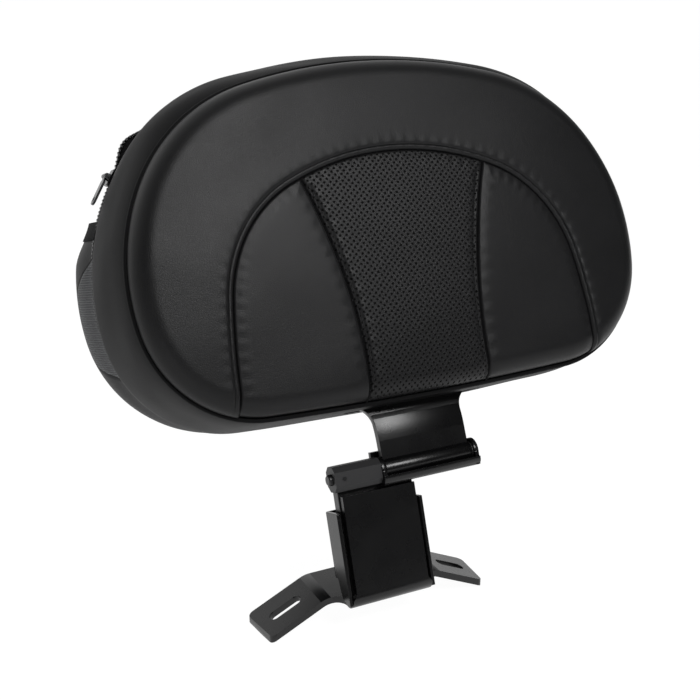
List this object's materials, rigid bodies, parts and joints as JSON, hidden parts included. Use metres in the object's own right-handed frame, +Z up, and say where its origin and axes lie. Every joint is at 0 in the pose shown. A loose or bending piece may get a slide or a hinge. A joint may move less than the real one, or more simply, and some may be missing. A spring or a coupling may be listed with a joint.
{
  "type": "motorcycle rider backrest",
  "caption": "Padded rider backrest with a zip pouch behind, on a folding bracket that lifts out of a bolt-down sleeve.",
  "frame": {"origin": "middle of the base bracket's flat underside, at the strap's front edge", "axes": "+Z up, +Y to the rear of the vehicle, +X across it, on the side the cushion is offset to"},
  "size_m": [0.423, 0.1832, 0.3827],
  "materials": {
    "black_steel": "satin powder coat",
    "pin_steel": "satin black",
    "zinc_steel": "zinc plated",
    "bronze": "plain",
    "nylon": "matte",
    "plywood": "raw plywood",
    "foam": "open cell foam",
    "cover_leather": "satin, fine grain",
    "perforated_leather": "satin, perforated",
    "webbing": "woven",
    "mesh": "woven mesh",
    "zip_plastic": "moulded teeth",
    "zip_metal": "black enamel"
  },
  "bodies": {
    "base": {"base_bracket": "black_steel", "sleeve_channel": "black_steel", "guide_liner": "nylon", "liner_rivets": "black_steel"},
    "tongue": {"tongue": "black_steel", "hinge_block": "black_steel", "cradle": "black_steel", "stop_bar": "black_steel", "pivot_pin": "pin_steel", "cross_pin": "pin_steel", "thrust_washers": "nylon"},
    "zip_pull": {"zip_pull": "zip_metal"},
    "backrest": {"neck_plate": "black_steel", "neck_bushes": "bronze", "neck_screws": "zinc_steel", "screw_washers": "zinc_steel", "tee_nuts": "zinc_steel", "back_board": "plywood", "front_foam": "foam", "rear_foam": "foam", "border_panel": "cover_leather", "side_panels": "cover_leather", "centre_panel": "perforated_leather", "front_welt": "cover_leather", "boxing_band": "cover_leather", "back_panel": "cover_leather", "pouch_body": "cover_leather", "zip_tape": "webbing", "zip_chain": "zip_plastic", "zip_slider": "zip_metal", "lower_pocket": "cover_leather", "mesh_gusset_left": "mesh", "mesh_gusset_right": "mesh", "pocket_hem": "webbing"}
  },
  "joints": [
    {"name": "tongue_slide", "type": "slide", "parent": "base", "child": "tongue", "axis": [0, 0.3387, 0.9409], "range_m": [0, 0.08]},
    {"name": "fold_hinge", "type": "hinge", "parent": "tongue", "child": "backrest", "pos_m": [0.042, 0.01346, 0.08905], "axis": [1, 0, 0], "range_deg": [0, 90]},
    {"name": "pull_hinge", "type": "hinge", "parent": "backrest", "child": "zip_pull", "pos_m": [-0.14491, 0.13469, 0.2897], "axis": [0, 0.9659, -0.2588], "range_deg": [0, 150]}
  ]
}
